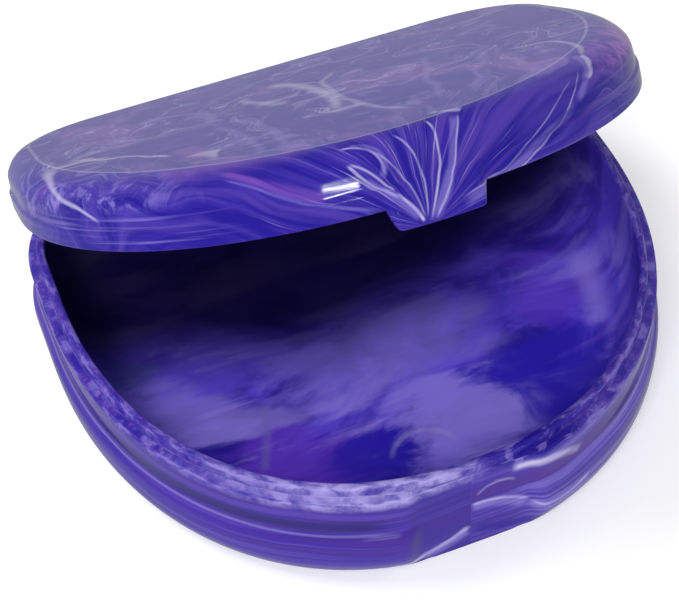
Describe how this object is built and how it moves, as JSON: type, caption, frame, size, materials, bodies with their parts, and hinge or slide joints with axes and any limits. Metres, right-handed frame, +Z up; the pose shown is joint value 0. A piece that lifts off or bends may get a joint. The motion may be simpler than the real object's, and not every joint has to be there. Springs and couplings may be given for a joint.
{
  "type": "hinged mouthguard case",
  "caption": "D-shaped hinged pocket case for a mouthguard, with a deep bowl, a shallow lid and a front latch tab, standing open.",
  "frame": {"origin": "centre of the flat underside, midway between the front edge and the back wall's face", "axes": "+X to the case's right, +Y to the hinge at the back, +Z up out of the bowl"},
  "size_m": [0.0816, 0.0733, 0.0561],
  "materials": {
    "bowl": "glossy, marbled in blue, violet and lavender",
    "lid": "glossy, marbled in blue, violet and lavender",
    "hinge_pin": "glossy"
  },
  "bodies": {
    "bowl": {"bowl": "bowl", "hinge_pin": "hinge_pin"},
    "lid": {"lid": "lid"}
  },
  "joints": [
    {"name": "lid_hinge", "type": "hinge", "parent": "bowl", "child": "lid", "pos_m": [0, 0.03685, 0.0133], "axis": [-1, 0, 0], "range_deg": [-30.5, 79.5]}
  ]
}
